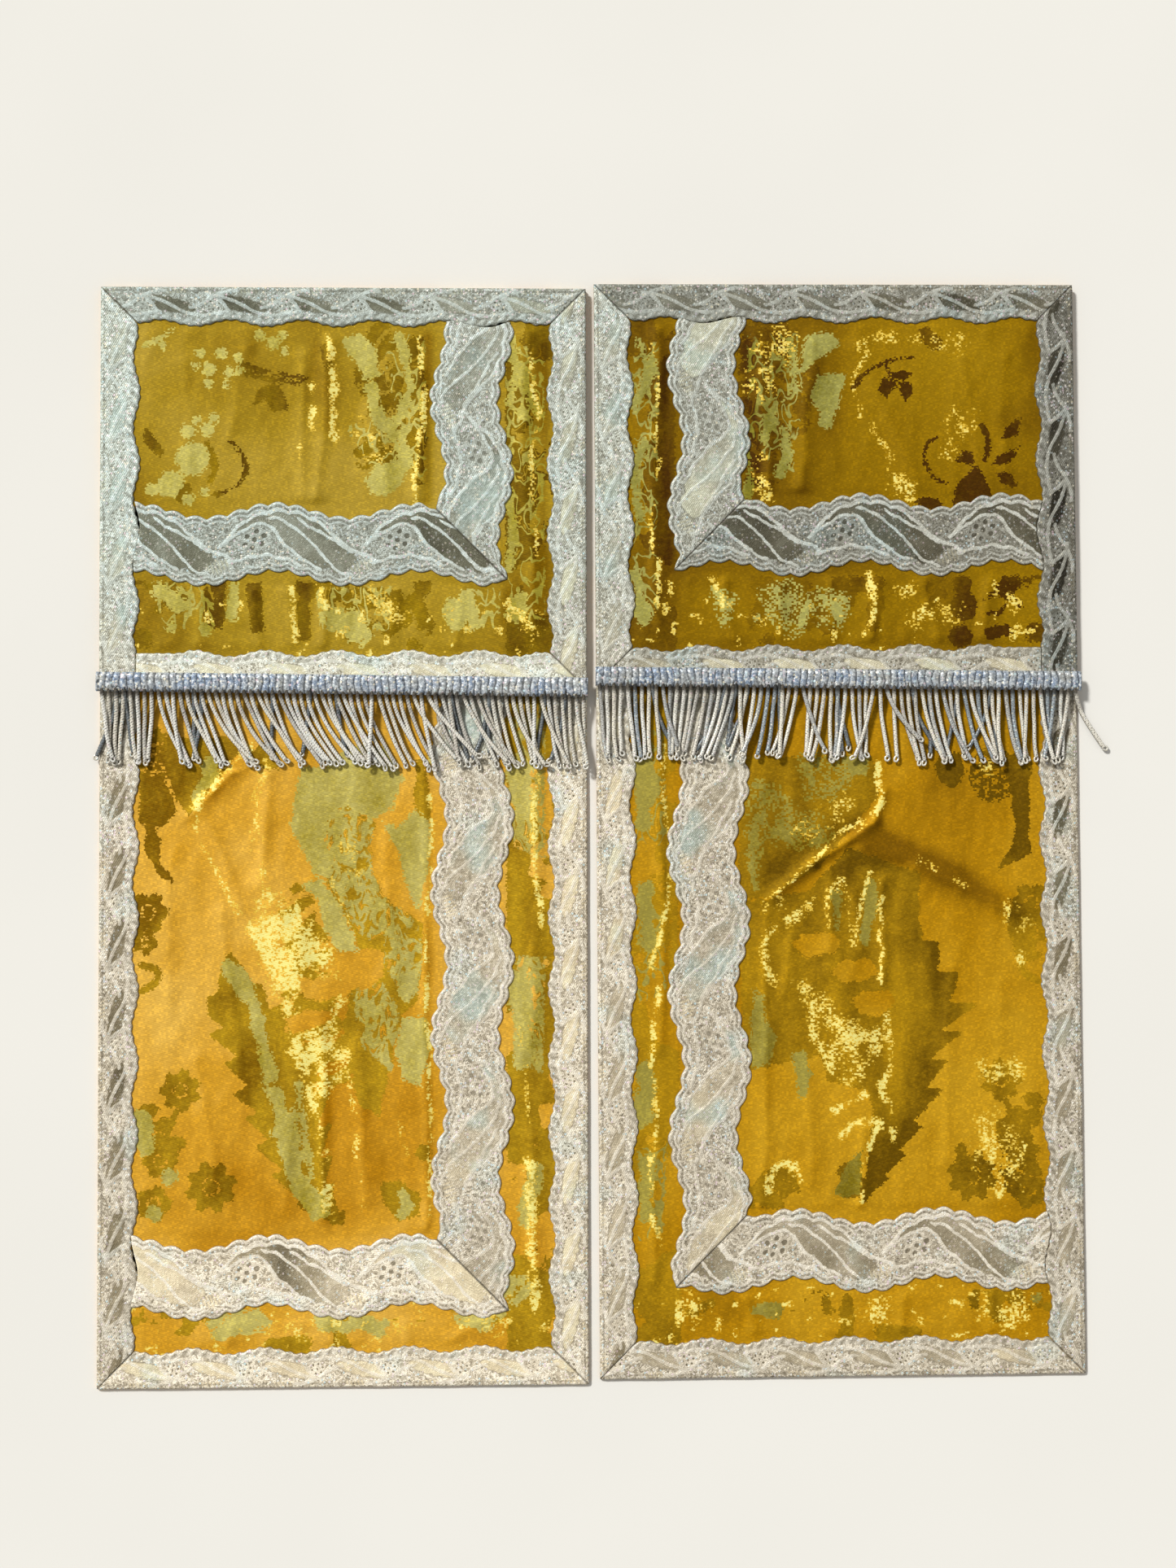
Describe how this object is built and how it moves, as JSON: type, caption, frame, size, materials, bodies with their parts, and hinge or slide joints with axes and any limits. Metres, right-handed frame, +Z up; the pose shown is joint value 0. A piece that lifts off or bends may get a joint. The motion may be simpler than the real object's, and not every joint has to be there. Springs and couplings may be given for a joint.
{
  "type": "tabernacle veil",
  "caption": "Flat two-part tabernacle veil of gold brocade, each part with an overlaid valance, scalloped silver galloon borders and bands, and a bullion fringe.",
  "frame": {"origin": "centre of the bounding box at the surface that the veil lies on", "axes": "+X to the right and +Y to the top edge as seen from above, +Z up out of the cloth's face"},
  "size_m": [0.6244, 0.682, 0.0094],
  "materials": {
    "brocade": "gold lame brocade with a woven leaf and flower pattern, semi-bright",
    "galloon": "silver metal-thread galloon, woven with leaves and berries, sparkling",
    "bullion": "silver twisted bullion strands on a ribbed blue-silver heading"
  },
  "bodies": {
    "root": {"left_fringe": "bullion", "left_valance_band_cross": "galloon", "left_valance_band_upright": "galloon", "left_valance_border_bottom": "galloon", "left_valance_border_opening": "galloon", "left_valance_border_outer": "galloon", "left_valance_border_top": "galloon", "left_valance_cloth": "brocade", "left_veil_band_cross": "galloon", "left_veil_band_upright": "galloon", "left_veil_border_bottom": "galloon", "left_veil_border_opening": "galloon", "left_veil_border_outer": "galloon", "left_veil_cloth": "brocade", "right_fringe": "bullion", "right_valance_band_cross": "galloon", "right_valance_band_upright": "galloon", "right_valance_border_bottom": "galloon", "right_valance_border_opening": "galloon", "right_valance_border_outer": "galloon", "right_valance_border_top": "galloon", "right_valance_cloth": "brocade", "right_veil_band_cross": "galloon", "right_veil_band_upright": "galloon", "right_veil_border_bottom": "galloon", "right_veil_border_opening": "galloon", "right_veil_border_outer": "galloon", "right_veil_cloth": "brocade"}
  },
  "joints": []
}
